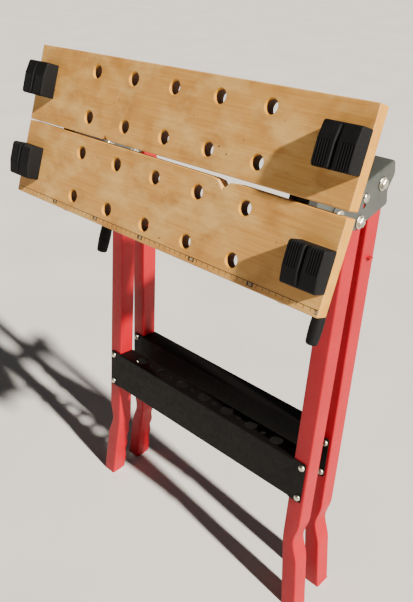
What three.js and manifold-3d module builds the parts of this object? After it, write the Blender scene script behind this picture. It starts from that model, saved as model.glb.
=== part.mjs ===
// Folding workbench with a two-jaw vice top, standing with its rear legs swung in and its top tilted up.
// Millimetres, +Z up, +X to the right of someone at the front, +Y to the rear.
import * as THREE from "three";
import { mergeVertices } from "three/addons/utils/BufferGeometryUtils.js";
import Module from "manifold-3d";

const wasm = await Module();
wasm.setup();

// Angles of the standing pose
const lean = degrees(6); // legs back from upright
const topLean = degrees(15); // jaws back from the legs
const armRise = degrees(18); // arms above square to the legs
const rearSwing = degrees(1.8); // rear legs out from the front ones

// Clearances
const seat = 0.3; // between faces that are fastened together
const running = 0.4; // round a piece that turns or slides
const sideGap = 0.5; // between the sheet sides that nest in each other
const overlap = 1; // by which joined shapes run into each other and cuts run past a face

// Jaws
const jawLength = 605;
const jawWidth = 116;
const jawThickness = 19;
const faceAhead = 92.6; // jaw face ahead of the tilt pin
const frontJawEdge = 7.6; // front jaw's inner edge above the tilt pin
const jawGapLeft = 1.8;
const jawGapRight = 7;
const dogHole = 9.5;
const holeColumns = 5;
const holePitch = 81;
const firstHole = 143;
const holeInset = 25;
const smallNotch = { at: 188, half: 6, deep: 6 };
const largeNotch = { at: 425, half: 21, deep: 12, shoulder: 11 };

// Legs: U-channel with the web forward
const legInset = 79; // leg's middle from the jaws' ends
const legWidth = 29;
const legDepth = 30;
const legWall = 2;
const legCorner = 3;
const rearSetback = 44.5; // rear web behind the front web
const rearLegRise = 8; // above the pivot bolt
const rearLegTaper = 40; // length over which the rear flanges narrow at the top
const rearLegNarrow = 4;
const legTopGap = 1.5; // front leg under the arm's top
const bendHeight = 140;
const footFlare = 17;
const pinchDepth = 7;
const pinchHalf = 42;
const pinchRings = 3; // rings of the sheet on each side of the pinch
const crimpStart = 36;
const crimpPitch = 34;
const crimpCount = 3;
const crimpDepth = 3;
const crimpRings = 4; // rings of the sheet in each crimp
const lugHeight = 626;
const lugSize = { out: 6, deep: 9, tall: 3, fromWeb: 12 };

// Cross channels
const channelTop = 299;
const channelHeight = 75;
const channelWall = 2;
const channelOnLeg = 24;
const trayDepth = 32;
const lipDepth = 14;
const rearChannelRaise = 20;
const trayHoles = 7;
const trayHolePitch = 54;
const trayHole = 11;
const traySmallHole = 4.5;
const channelBoltInset = 8.5;
const channelBoltOut = 3; // outward of the leg's middle

// Fasteners; the dome gives a rounded head as shares of its radius and height
const dome = [
  [1, 0],
  [0.94, 0.35],
  [0.6, 0.82],
  [0, 1],
];
const channelBolt = { radius: 3, head: 5.6, headTall: 4.2, nut: 5.2, nutTall: 4.5 };
const largeBolt = { radius: 4, head: 7.2, headTall: 4.6, nut: 6.5, nutTall: 7 };
const washer = { radius: 9.5, thick: 1.6 };
const jawScrew = { radius: 2.5, grip: 11, head: 5, headTall: 3.5 };
const jawScrewsAt = [-84, -30];

// Arms: inverted U over the leg tops, measured from the tilt pin
const tiltPin = { y: -31, z: 706, radius: 5, head: 8, headTall: 2.5 };
const armWall = 2;
const armTop = 16.5;
const armBottom = -39;
const armHeel = 29; // where the lower edge starts
const armRear = 128.5;
const armStep = 109;
const armStepTop = -3;
const armStepBottom = -19;
const armNose = 16;
const flangeClear = 2; // arm's top behind the carrier's lug when the top lies flat
const armCorner = 6;
const frontBolt = { y: 42.4, z: -32 };
const legRivet = { y: 58.2, z: -4.3, radius: 3, head: 6.8, headTall: 3.2 };
const spareHole = { y: 54.5, z: -14.5, radius: 3.5 };
const pivotBolt = { y: 97.1, z: -3 };

// Dogs: two bands of fine grooves beside a V-groove, up to a plain slope at the outer side
const dogLength = 50;
const dogWidth = 51;
const dogHeight = 25;
const dogOut = 5; // dog's middle outward of its board's middle
const dogSlope = { start: 5, drop: 4, round: 3 };
const dogRound = 5;
const dogBand = { start: 6.8, pitch: 3.3, grooves: 5, width: 1.6, deep: 1.4, foot: 6 };
const dogVee = { half: 5.5, deep: 6 };

// Carriers and the vice screws, with the screw ahead of the tilt pin
const carrierWall = 2;
const carrierRest = 0.5; // above the arm when the top lies flat
const carrierInset = 4.4; // carrier behind the front jaw's outer edge
const carrierRear = 121;
const carrierLug = 12;
const carrierLugRoot = 24;
const carrierEnd = 3;
const screwAhead = 47.6;
const screwRadius = 6;
const screwRear = 118;
const slotWidth = 13;
const slotFront = 4;
const collarLength = 8;
const collarRadius = 10;
const nutLength = 26;
const nutFromEdge = 18; // nut's middle behind the rear jaw's inner edge
const nutBelow = 12; // nut past the screw's middle
const studRadius = 4;
const studGrip = 10; // stud's depth in the jaw and in the nut

// Cranks and grips
const crankThick = 4;
const crankClear = 5; // crank below the front jaw's outer edge
const crankRadius = 70;
const crankHub = 10;
const crankSleeve = 9;
const screwEnd = 2; // screw's end below the crank
const crankEye = 8;
const crankAngles = { right: degrees(-74), left: degrees(-42) };
const gripRadius = 9.5;
const gripPast = 64; // grip's end below the front jaw's outer edge
const gripEnd = 5; // closed end's thickness
const gripRound = 3;
const gripWaist = 1; // barrel's ends in from its full radius
const gripCollar = 3;
const handlePin = { radius: 4, head: 6.5, headTall: 3 };

const legCentre = jawLength / 2 - legInset;
const armInside = legWidth + 2 * sideGap;
const armOutside = armInside + 2 * armWall;
const armFlangeStart = carrierLugRoot + flangeClear;
const carrierBack = armTop + carrierRest;
const carrierTop = faceAhead - jawThickness - seat;
const frontJawFront = frontJawEdge - jawWidth;
const carrierFront = frontJawFront + carrierInset;
const crankTop = frontJawFront - crankClear;
const gripTip = frontJawFront - gripPast;
const dogAcross = (jawLength - dogLength) / 2;
const dogRows = { front: jawWidth / 2 - dogOut, rear: jawWidth / 2 + dogOut };
const rearJawSkew = Math.atan2(jawGapRight - jawGapLeft, jawLength);

const colours = {
  red: { color: 0xc8262b, roughness: 0.4, metalness: 0 },
  black: { color: 0x17171a, roughness: 0.45, metalness: 0 },
  grey: { color: 0x5b6061, roughness: 0.45, metalness: 0.2 },
  zinc: { color: 0xb9b6ac, roughness: 0.35, metalness: 1 },
  wood: { color: 0xc8985a, roughness: 0.6, metalness: 0 },
  plastic: { color: 0x1b1c1e, roughness: 0.55, metalness: 0 },
};

function degrees(angle) {
  return THREE.MathUtils.degToRad(angle);
}

function solid(geometry) {
  const loose = geometry.index ? geometry.toNonIndexed() : geometry;
  const bare = new THREE.BufferGeometry();
  bare.setAttribute("position", loose.getAttribute("position"));
  const merged = mergeVertices(bare, 1e-4);
  return new wasm.Manifold(
    new wasm.Mesh({
      numProp: 3,
      vertProperties: merged.attributes.position.array,
      triVerts: new Uint32Array(merged.index.array),
    }),
  );
}

function surface(body) {
  const mesh = body.getMesh();
  const geometry = new THREE.BufferGeometry();
  geometry.setAttribute("position", new THREE.BufferAttribute(mesh.vertProperties, 3));
  geometry.setIndex(new THREE.BufferAttribute(mesh.triVerts, 1));
  geometry.computeVertexNormals();
  return geometry;
}

function join(...pieces) {
  return surface(pieces.map(solid).reduce((whole, next) => whole.add(next)));
}

function cut(piece, ...tools) {
  return surface(tools.map(solid).reduce((whole, tool) => whole.subtract(tool), solid(piece)));
}

function block(x, y, z) {
  const box = new THREE.BoxGeometry(x[1] - x[0], y[1] - y[0], z[1] - z[0]);
  return box.translate((x[0] + x[1]) / 2, (y[0] + y[1]) / 2, (z[0] + z[1]) / 2);
}

// Turns a piece made along Y to lie along the named axis
function along(axis, geometry) {
  if (axis === "x") geometry.rotateZ(-Math.PI / 2);
  if (axis === "z") geometry.rotateX(Math.PI / 2);
  return geometry;
}

function rod(axis, radius, from, to, sides = 16) {
  const bar = new THREE.CylinderGeometry(radius, radius, to - from, sides);
  return along(axis, bar.translate(0, (from + to) / 2, 0));
}

// A turned piece: profile of [radius, distance], from the axis out and back to it
function turned(axis, profile, sides) {
  const points = profile.map(([radius, distance]) => new THREE.Vector2(radius, distance));
  return along(axis, new THREE.LatheGeometry(points, sides));
}

// A profile of corners [a, b, radius], each rounded where it has a radius
function outline(corners) {
  const shape = new THREE.Shape();
  corners.forEach(([a, b, radius = 0], i) => {
    const corner = new THREE.Vector2(a, b);
    const towards = (n) => {
      const [c, d] = corners[(n + corners.length) % corners.length];
      return new THREE.Vector2(c - a, d - b).setLength(radius).add(corner);
    };
    const before = radius ? towards(i - 1) : corner;
    if (i) shape.lineTo(before.x, before.y);
    else shape.moveTo(before.x, before.y);
    if (!radius) return;
    const after = towards(i + 1);
    shape.quadraticCurveTo(a, b, after.x, after.y);
  });
  return shape;
}

function extrude(shape, depth, curveSegments) {
  return new THREE.ExtrudeGeometry(shape, { depth, curveSegments, bevelEnabled: false });
}

// A profile of (y, z) carried along X
function plateAcross(shape, from, to, curveSegments = 3) {
  const axes = new THREE.Matrix4().makeBasis(
    new THREE.Vector3(0, 1, 0),
    new THREE.Vector3(0, 0, 1),
    new THREE.Vector3(1, 0, 0),
  );
  return extrude(shape, to - from, curveSegments).applyMatrix4(axes).translate(from, 0, 0);
}

// A profile of (x, z) carried along Y
function plateFacing(shape, from, to, curveSegments = 4) {
  return extrude(shape, to - from, curveSegments).rotateX(Math.PI / 2).translate(0, to, 0);
}

// A skin over rings of points in step with each other, closed at both ends
function loft(rings) {
  const count = rings[0].length;
  const last = (rings.length - 1) * count;
  const index = [];
  for (let ring = 0; ring < rings.length - 1; ring++) {
    for (let i = 0; i < count; i++) {
      const a = ring * count + i;
      const b = ring * count + ((i + 1) % count);
      index.push(a, b, b + count, a, b + count, a + count);
    }
  }
  const flat = (ring) => ring.map((point) => new THREE.Vector2(point.x, point.y));
  for (const [a, b, c] of THREE.ShapeUtils.triangulateShape(flat(rings[0]), [])) index.push(c, b, a);
  for (const [a, b, c] of THREE.ShapeUtils.triangulateShape(flat(rings.at(-1)), [])) {
    index.push(last + a, last + b, last + c);
  }
  return new THREE.BufferGeometry().setFromPoints(rings.flat()).setIndex(index);
}

function mirrored(geometry) {
  const flipped = geometry.index ? geometry.toNonIndexed() : geometry.clone();
  const places = flipped.getAttribute("position");
  for (let i = 0; i < places.count; i += 3) {
    const swap = [places.getX(i + 1), places.getY(i + 1), places.getZ(i + 1)];
    places.setXYZ(i + 1, places.getX(i + 2), places.getY(i + 2), places.getZ(i + 2));
    places.setXYZ(i + 2, ...swap);
  }
  flipped.scale(-1, 1, 1);
  flipped.computeVertexNormals();
  return flipped;
}

function piece(group, name, geometry, colour) {
  const mesh = new THREE.Mesh(geometry, new THREE.MeshStandardMaterial(colours[colour]));
  mesh.name = name;
  group.add(mesh);
}

// A right-hand piece and its left-hand mirror
function pair(group, name, geometry, colour) {
  piece(group, name + "_right", geometry, colour);
  piece(group, name + "_left", mirrored(geometry), colour);
}

// A point of the arm's frame in the legs' frame
function fromArm({ y, z }) {
  return {
    y: tiltPin.y + y * Math.cos(armRise) - z * Math.sin(armRise),
    z: tiltPin.z + y * Math.sin(armRise) + z * Math.cos(armRise),
  };
}

// Heights of one leg's rings: the crimps of the foot, the pinch at the bend, and the plain shank
function legHeights() {
  const crimpStep = crimpPitch / crimpRings;
  const pinchStep = pinchHalf / pinchRings;
  const crimps = Array.from({ length: crimpRings * crimpCount + 1 }, (_, i) => crimpStart + i * crimpStep);
  const pinchStart = bendHeight - pinchHalf;
  const pinch = Array.from({ length: 2 * pinchRings + 1 }, (_, i) => pinchStart + i * pinchStep);
  return [...crimps, ...pinch].sort((a, b) => a - b);
}

// One U-section: outer flange pinched at the bend, inner flange crimped in the foot
function legRing(heightAt, height, narrow = 0) {
  const flare = (footFlare * Math.max(0, bendHeight - height)) / bendHeight;
  const fromBend = Math.min(1, Math.abs(height - bendHeight) / pinchHalf);
  const pinch = pinchDepth * Math.cos((fromBend * Math.PI) / 2) ** 2;
  const turn = (height - crimpStart) / crimpPitch;
  const crimp = turn > 0 && turn < crimpCount ? crimpDepth * Math.sin(turn * Math.PI) ** 2 : 0;
  const inner = legCentre - legWidth / 2 + flare;
  const outer = legCentre + legWidth / 2 + flare - pinch;
  const depth = legDepth - narrow;
  const round = legCorner * (1 - Math.SQRT1_2);
  return [
    [inner + legCorner, 0],
    [outer - legCorner, 0],
    [outer - round, round],
    [outer, legCorner],
    [outer, depth],
    [outer - legWall, depth],
    [outer - legWall, legWall],
    [inner + legWall, legWall],
    [inner + legWall, depth - crimp],
    [inner, depth - crimp],
    [inner, legCorner],
    [inner + round, round],
  ].map(([x, y]) => new THREE.Vector3(x, y, heightAt(y)));
}

// The floor in the frame of a leg that stands at a place of the front legs' frame, swung out from them
function floorUnder({ y, z }, swing) {
  const start = (y * Math.sin(lean) - z * Math.cos(lean)) / Math.cos(lean - swing);
  return (depth) => start + depth * Math.tan(lean - swing);
}

// A leg with its foot cut to the floor
function leg(floor, topRings) {
  const rings = legHeights().map((height) => legRing(() => height, height));
  return loft([legRing(floor, 0), ...rings, ...topRings]);
}

function channelBoltHoles(top) {
  const x = legCentre + channelBoltOut;
  return [top - channelBoltInset, top - channelHeight + channelBoltInset].map((z) => ({ x, z }));
}

function channelBoltCuts(top) {
  return channelBoltHoles(top).map(({ x, z }) =>
    rod("y", channelBolt.radius + seat, -2 * channelWall, 2 * legWall, 8).translate(x, 0, z),
  );
}

function throughLeg(place, radius) {
  return rod("x", radius, -legWidth, legWidth, 10).translate(legCentre, place.y, place.z);
}

// Pressed cross channel: face plate on the legs, tray flange above and lip below, between the legs
function crossChannel(top, holed) {
  const inside = legCentre - legWidth / 2 - sideGap;
  const half = inside + sideGap + channelOnLeg;
  const front = -seat - channelWall;
  const bottom = top - channelHeight;
  const plate = block([-half, half], [front, -seat], [bottom, top]);
  const tray = block([-inside, inside], [front, front + trayDepth], [top - channelWall, top]);
  const lip = block([-inside, inside], [front, front + lipDepth], [bottom, bottom + channelWall]);
  const tools = channelBoltCuts(top).flatMap((hole) => [hole, mirrored(hole)]);
  const middle = front + channelWall + (trayDepth - channelWall) / 2;
  for (let i = 0; holed && i < 2 * trayHoles - 1; i++) {
    const x = ((i - trayHoles + 1) * trayHolePitch) / 2;
    const radius = i % 2 ? traySmallHole : trayHole;
    const hole = rod("z", radius, top - 2 * channelWall, top + channelWall, i % 2 ? 8 : 16);
    tools.push(hole.translate(x, middle, 0));
  }
  return cut(join(plate, tray, lip), ...tools);
}

// A domed head standing on a face, from its rim to its crown
function domed({ head, headTall }, face, way) {
  return dome.map(([across, tall]) => [across * head, face + way * tall * headTall]);
}

// Dome-headed bolt along Y through a cross channel and a leg web, with its nut behind
function channelBoltBody() {
  const face = -2 * seat - channelWall;
  const back = legWall + seat;
  const { radius, nut, nutTall } = channelBolt;
  return turned(
    "y",
    [
      ...domed(channelBolt, face, -1).reverse(),
      [radius, face],
      [radius, back],
      [nut, back],
      [nut, back + nutTall],
      [0, back + nutTall],
    ],
    8,
  );
}

// Large bolt along X through an arm, with a washer and a domed head outside and a nut inside
function largeBoltBody() {
  const outer = armOutside / 2 + seat;
  const { radius, nut, nutTall } = largeBolt;
  const seatFace = outer + washer.thick;
  return turned(
    "x",
    [
      [0, -outer - nutTall],
      [nut, -outer - nutTall],
      [nut, -outer],
      [radius, -outer],
      [radius, outer],
      [washer.radius, outer],
      [washer.radius, seatFace],
      ...domed(largeBolt, seatFace, 1),
    ],
    12,
  );
}

function rivetBody() {
  const outer = armOutside / 2 + seat;
  const { radius } = legRivet;
  return turned(
    "x",
    [
      ...domed(legRivet, -outer, -1).reverse(),
      [radius, -outer],
      [radius, outer],
      ...domed(legRivet, outer, 1),
    ],
    8,
  );
}

function tiltPinBody() {
  const outer = armOutside / 2 + seat;
  const { radius, head, headTall } = tiltPin;
  return turned(
    "x",
    [
      [0, -outer - headTall],
      [head, -outer - headTall],
      [head, -outer],
      [radius, -outer],
      [radius, outer],
      [head, outer],
      [head, outer + headTall],
      [0, outer + headTall],
    ],
    12,
  );
}

function arm() {
  const profile = outline([
    [-armNose, -armNose, armNose],
    [0, -armNose],
    [armHeel, armBottom, armCorner],
    [armStep, armBottom, armCorner],
    [armStep, armStepBottom, armCorner],
    [armRear, armStepTop, armCorner],
    [armRear, armTop],
    [armFlangeStart, armTop],
    [0, armNose],
    [-armNose, armNose, armNose],
  ]);
  const outer = armOutside / 2;
  const inner = armInside / 2;
  const sheet = join(
    plateAcross(profile, inner, outer),
    plateAcross(profile, -outer, -inner),
    block([-outer, outer], [armFlangeStart, armRear], [armTop - armWall, armTop]),
  );
  const hole = (place, radius, from = -outer) =>
    rod("x", radius, from - armWall, outer + armWall, 12).translate(0, place.y, place.z);
  return cut(
    sheet,
    hole({ y: 0, z: 0 }, tiltPin.radius + seat),
    hole(frontBolt, largeBolt.radius + seat),
    hole(pivotBolt, largeBolt.radius + seat),
    hole(legRivet, legRivet.radius + seat),
    hole(spareHole, spareHole.radius, inner),
  ).translate(legCentre, 0, 0);
}

// Carrier: channel under the jaws, with lugs on the tilt pin and an end plate for the screw.
// In the top's frame Y runs from the jaw face to the rear and Z up the jaws, from the tilt pin.
function carrier() {
  const half = legWidth / 2;
  const profile = outline([
    [-carrierTop, carrierFront],
    [-carrierBack, carrierFront],
    [-carrierBack, -carrierLugRoot],
    [carrierLug, -carrierLug, carrierLug],
    [carrierLug, carrierLug, carrierLug],
    [-carrierBack, carrierLugRoot],
    [-carrierBack, carrierRear],
    [-carrierTop, carrierRear],
  ]);
  const webBack = -carrierTop + carrierWall;
  const sheet = join(
    plateAcross(profile, half - carrierWall, half),
    plateAcross(profile, -half, carrierWall - half),
    block([-half, half], [-carrierTop, webBack], [carrierFront, carrierRear]),
    block([-half, half], [-carrierTop, -carrierBack], [carrierFront, carrierFront + carrierEnd]),
  );
  const slot = block(
    [-slotWidth / 2, slotWidth / 2],
    [-carrierTop - carrierWall, webBack + carrierWall],
    [slotFront, carrierRear - carrierEnd],
  );
  const bearing = rod("z", screwRadius + running, carrierFront - carrierEnd, carrierFront + 2 * carrierEnd);
  const screwHole = () =>
    rod("y", jawScrew.radius + seat, -carrierTop - carrierWall, webBack + carrierWall, 12);
  const screws = jawScrewsAt.map((z) => screwHole().translate(0, 0, z));
  return cut(
    sheet,
    slot,
    bearing.translate(0, -screwAhead, 0),
    rod("x", tiltPin.radius + running, -half - carrierWall, half + carrierWall),
    ...screws,
  ).translate(legCentre, 0, 0);
}

// Jaw board standing on its front edge, with x from its middle and z from its front edge
function jaw(notches, dogRow, extraCuts) {
  const half = jawLength / 2;
  const shape = new THREE.Shape().moveTo(-half, 0);
  notches(shape, half);
  shape.lineTo(-half, jawWidth);
  const hole = (x, z) => {
    const path = new THREE.Path();
    path.absarc(x, z, dogHole, 0, 2 * Math.PI, true);
    shape.holes.push(path);
  };
  for (let column = 0; column < holeColumns; column++) {
    const x = firstHole + column * holePitch - half;
    hole(x, holeInset);
    hole(x, jawWidth - holeInset);
  }
  hole(-dogAcross, dogRow);
  hole(dogAcross, dogRow);
  const board = plateFacing(shape, -faceAhead, -faceAhead + jawThickness, 7);
  return cut(board, ...extraCuts);
}

// Small V-notch in the rear jaw's front edge
function rearJawNotch(shape, half) {
  const { at, half: reach, deep } = smallNotch;
  shape.lineTo(at - reach - half, 0);
  shape.lineTo(at - half, deep);
  shape.lineTo(at + reach - half, 0);
  shape.lineTo(half, 0);
  shape.lineTo(half, jawWidth);
}

// Larger V-notch with rounded shoulders in the front jaw's rear edge
function frontJawNotch(shape, half) {
  const { at, half: reach, deep, shoulder } = largeNotch;
  const middle = at - half;
  shape.lineTo(half, 0);
  shape.lineTo(half, jawWidth);
  shape.lineTo(middle + reach, jawWidth);
  shape.quadraticCurveTo(middle + reach - shoulder, jawWidth, middle, jawWidth - deep);
  shape.quadraticCurveTo(middle - reach + shoulder, jawWidth, middle - reach, jawWidth);
}

// Blind holes in a board's underside, for pieces that come up from the carriers
function blindHole(x, z, radius, depth) {
  const back = -faceAhead + jawThickness;
  return rod("y", radius + seat, back - depth - seat, back + overlap, 12).translate(x, 0, z);
}

// Swivel dog on a peg in the jaw; its plain slope faces +Z
function dog() {
  const half = dogLength / 2;
  const side = dogWidth / 2;
  const base = -seat;
  const { start, drop, round } = dogSlope;
  const body = outline([
    [base, -side],
    [base, side],
    [drop - dogHeight, side, round],
    [-dogHeight, start],
    [-dogHeight, -side, dogRound],
  ]);
  const { deep, foot, width, pitch, grooves } = dogBand;
  const past = -dogHeight - overlap;
  const groove = outline([
    [past, start],
    [deep - dogHeight, start],
    [deep - dogHeight, deep - side, dogRound - deep],
    [-foot, deep - side],
    [-foot, -side - overlap],
    [past, -side - overlap],
  ]);
  const band = Array.from({ length: grooves }, (_, i) => dogBand.start + (i + 0.5) * pitch);
  const cuts = [...band, ...band.map((x) => -x)].map((x) =>
    plateAcross(groove, x - width / 2, x + width / 2, 1),
  );
  const vee = extrude(
    outline([
      [-dogVee.half, past],
      [dogVee.half, past],
      [0, dogVee.deep - dogHeight],
    ]),
    2 * dogWidth,
  ).translate(0, 0, -dogWidth);
  const peg = rod("y", dogHole - running, base - overlap, jawThickness, 16);
  return join(cut(plateAcross(body, -half, half), ...cuts, vee), peg);
}

function crank() {
  const reach = crankRadius;
  const strap = new THREE.Shape();
  const lead = Math.acos((crankHub - crankEye) / reach);
  strap.absarc(0, 0, crankHub, lead, 2 * Math.PI - lead, false);
  strap.absarc(reach, 0, crankEye, -lead, lead, false);
  const plate = extrude(strap, crankThick, 6).translate(0, 0, crankTop - crankThick);
  const hub = rod("z", crankSleeve, crankTop - overlap, carrierFront - seat);
  const bore = rod("z", screwRadius + seat, crankTop - 2 * crankThick, carrierFront + overlap);
  const eye = rod("z", handlePin.radius + seat, crankTop - 2 * crankThick, crankTop + overlap, 16);
  return cut(join(plate, hub), bore, eye.translate(reach, 0, 0));
}

function crankPin() {
  const tip = gripTip + gripEnd + seat;
  const { radius } = handlePin;
  return turned(
    "z",
    [
      [0, tip],
      [radius, tip],
      [radius, crankTop + seat],
      ...domed(handlePin, crankTop + seat, 1),
    ],
    12,
  );
}

// Grip: swelling barrel with a closed round end, bored for its pin
function grip() {
  const top = crankTop - crankThick - running;
  const middle = (top + gripTip) / 2;
  const bore = handlePin.radius + running;
  return turned(
    "z",
    [
      [0, gripTip],
      [gripRadius - gripWaist - gripRound, gripTip],
      [gripRadius - gripWaist, gripTip + gripRound],
      [gripRadius, middle],
      [gripRadius - gripWaist, top - 2 * gripCollar],
      [gripRadius, top - gripCollar],
      [gripRadius - gripWaist, top],
      [bore, top],
      [bore, gripTip + gripEnd],
      [0, gripTip + gripEnd],
    ],
    14,
  );
}

function slideNut() {
  const half = legWidth / 2 - carrierWall - running;
  const webBack = -carrierTop + carrierWall;
  const ends = [-nutLength / 2, nutLength / 2];
  const body = block([-half, half], [webBack + running, nutBelow - screwAhead], ends);
  const stem = slotWidth / 2 - running;
  const neck = block([-stem, stem], [-carrierTop, webBack + overlap], ends);
  const thread = rod("z", screwRadius + running, -nutLength, nutLength).translate(0, -screwAhead, 0);
  const seatForStud = rod("y", studRadius + seat, -carrierTop - overlap, studGrip + seat - carrierTop, 14);
  return cut(join(body, neck), thread, seatForStud);
}

function jawScrewBody() {
  const { radius, grip: depth } = jawScrew;
  const under = -carrierTop + carrierWall + seat;
  return turned(
    "y",
    [
      [0, -carrierTop - seat - depth],
      [radius, -carrierTop - seat - depth + radius],
      [radius, under],
      ...domed(jawScrew, under, 1),
    ],
    8,
  );
}

const across = new THREE.Vector3(1, 0, 0);
const bench = new THREE.Group();
bench.rotation.x = -lean;

// Front frame
const frontBoltAt = fromArm(frontBolt);
const rivetAt = fromArm(legRivet);
const underArm = (y) => {
  const rise = (armTop - armWall - legTopGap + (y - tiltPin.y) * Math.sin(armRise)) / Math.cos(armRise);
  return tiltPin.z + rise;
};
const frontLeg = cut(
  leg(floorUnder({ y: 0, z: 0 }, 0), [legRing(underArm, underArm(0))]),
  ...channelBoltCuts(channelTop),
  throughLeg(frontBoltAt, largeBolt.radius + seat),
  throughLeg(rivetAt, legRivet.radius + seat),
);
pair(bench, "front_leg", frontLeg, "red");
piece(bench, "front_channel", crossChannel(channelTop, true), "black");

function channelBolts(group, name, top) {
  channelBoltHoles(top).forEach(({ x, z }, i) => {
    pair(group, name + (i ? "_lower" : "_upper"), channelBoltBody().translate(x, 0, z), "zinc");
  });
}
channelBolts(bench, "front_channel_bolt", channelTop);

// Rear frame, which swings on the pivot bolts
const rear = new THREE.Group();
bench.add(rear);
const pivotAt = fromArm(pivotBolt);
const pivotInRear = { y: pivotAt.y - rearSetback, z: pivotAt.z };
const swungPivot = new THREE.Vector3(0, pivotInRear.y, pivotInRear.z).applyAxisAngle(across, rearSwing);
rear.rotation.x = rearSwing;
rear.position.set(0, pivotAt.y, pivotAt.z).sub(swungPivot);
const rearTop = pivotAt.z + rearLegRise;
const taperStart = rearTop - rearLegTaper;
const lugOut = legCentre + legWidth / 2;
const lug = block(
  [lugOut - overlap, lugOut + lugSize.out],
  [lugSize.fromWeb, lugSize.fromWeb + lugSize.deep],
  [lugHeight, lugHeight + lugSize.tall],
);
const rearChannelTop = channelTop + rearChannelRaise;
const rearLegRings = [
  legRing(() => taperStart, taperStart),
  legRing(() => rearTop, rearTop, rearLegNarrow),
];
const rearLeg = cut(
  join(leg(floorUnder(rear.position, rearSwing), rearLegRings), lug),
  ...channelBoltCuts(rearChannelTop),
  throughLeg(pivotInRear, largeBolt.radius + running),
);
pair(rear, "rear_leg", rearLeg, "red");
piece(rear, "rear_channel", crossChannel(rearChannelTop, false), "black");
channelBolts(rear, "rear_channel_bolt", rearChannelTop);

// Arms and what passes through them
const arms = new THREE.Group();
arms.position.set(0, tiltPin.y, tiltPin.z);
arms.rotation.x = armRise;
bench.add(arms);
pair(arms, "arm", arm(), "grey");
pair(arms, "front_leg_bolt", largeBoltBody().translate(legCentre, frontBolt.y, frontBolt.z), "zinc");
pair(arms, "rear_pivot_bolt", largeBoltBody().translate(legCentre, pivotBolt.y, pivotBolt.z), "zinc");
pair(arms, "arm_rivet", rivetBody().translate(legCentre, legRivet.y, legRivet.z), "zinc");
pair(arms, "tilt_pin", tiltPinBody().translate(legCentre, 0, 0), "zinc");

// Top: carriers, front jaw and vice screws
const top = new THREE.Group();
top.position.copy(arms.position);
top.rotation.x = -topLean;
bench.add(top);
pair(top, "carrier", carrier(), "grey");

const frontJaw = new THREE.Group();
frontJaw.position.z = frontJawFront;
top.add(frontJaw);
const frontJawHoles = jawScrewsAt.flatMap((z) =>
  [-legCentre, legCentre].map((x) => blindHole(x, z - frontJawFront, jawScrew.radius, jawScrew.grip)),
);
piece(frontJaw, "front_jaw", jaw(frontJawNotch, dogRows.front, frontJawHoles), "wood");
jawScrewsAt.forEach((z, i) => {
  const name = i ? "front_jaw_screw_inner" : "front_jaw_screw_outer";
  pair(top, name, jawScrewBody().translate(legCentre, 0, z), "zinc");
});

// Rear jaw, drawn along the carriers by the nuts; each end can lead the other
const rearJaw = new THREE.Group();
const rearJawEdge = frontJawEdge + (jawGapLeft + jawGapRight) / 2;
rearJaw.position.z = rearJawEdge;
rearJaw.rotation.y = -rearJawSkew;
top.add(rearJaw);
const nutAcross = legCentre / Math.cos(rearJawSkew) + nutFromEdge * Math.tan(rearJawSkew);
const nutAcrossLeft = legCentre / Math.cos(rearJawSkew) - nutFromEdge * Math.tan(rearJawSkew);
const rearJawHoles = [nutAcross, -nutAcrossLeft].map((x) => blindHole(x, nutFromEdge, studRadius, studGrip));
piece(rearJaw, "rear_jaw", jaw(rearJawNotch, dogRows.rear, rearJawHoles), "wood");

const sides = [
  { name: "right", sign: 1, across: nutAcross },
  { name: "left", sign: -1, across: -nutAcrossLeft },
];
for (const { name, sign, across } of sides) {
  const nutAt = new THREE.Vector3(across, 0, nutFromEdge).applyEuler(rearJaw.rotation).add(rearJaw.position);
  piece(top, "slide_nut_" + name, slideNut().translate(nutAt.x, 0, nutAt.z), "zinc");
  const stud = rod("y", studRadius, -carrierTop - seat - studGrip, studGrip - carrierTop, 14);
  piece(top, "nut_stud_" + name, stud.translate(nutAt.x, 0, nutAt.z), "zinc");

  const screw = new THREE.Group();
  screw.position.set(sign * legCentre, -screwAhead, 0);
  top.add(screw);
  const collarStart = carrierFront + carrierEnd + running;
  const screwBar = rod("z", screwRadius, crankTop - crankThick - screwEnd, screwRear);
  const collar = cut(
    rod("z", collarRadius, collarStart, collarStart + collarLength, 18),
    rod("z", screwRadius + seat, collarStart - overlap, collarStart + collarLength + overlap),
  );
  piece(screw, "clamp_screw_" + name, screwBar, "zinc");
  piece(screw, "screw_collar_" + name, collar, "zinc");

  const handle = new THREE.Group();
  const angle = crankAngles[name];
  handle.rotation.z = -angle;
  screw.add(handle);
  piece(handle, "crank_" + name, crank(), "zinc");
  piece(handle, "crank_pin_" + name, crankPin().translate(crankRadius, 0, 0), "zinc");
  piece(handle, "crank_grip_" + name, grip().translate(crankRadius, 0, 0), "plastic");

  for (const [carried, where] of [[frontJaw, "front"], [rearJaw, "rear"]]) {
    const place = [sign * dogAcross, -faceAhead, dogRows[where]];
    const facing = where === "front" ? Math.PI : 0;
    piece(carried, "dog_" + where + "_" + name, dog().rotateY(facing).translate(...place), "plastic");
  }
}

// The bench stands on its feet with the middle of its box over the origin
const workbench = new THREE.Group();
workbench.add(bench);
workbench.updateMatrixWorld(true);
const extent = new THREE.Box3().setFromObject(bench, true);
bench.position.set(-(extent.min.x + extent.max.x) / 2, -(extent.min.y + extent.max.y) / 2, -extent.min.z);

export default workbench;
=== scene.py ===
import math
import bmesh
import bpy
from mathutils import Matrix, Vector


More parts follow.
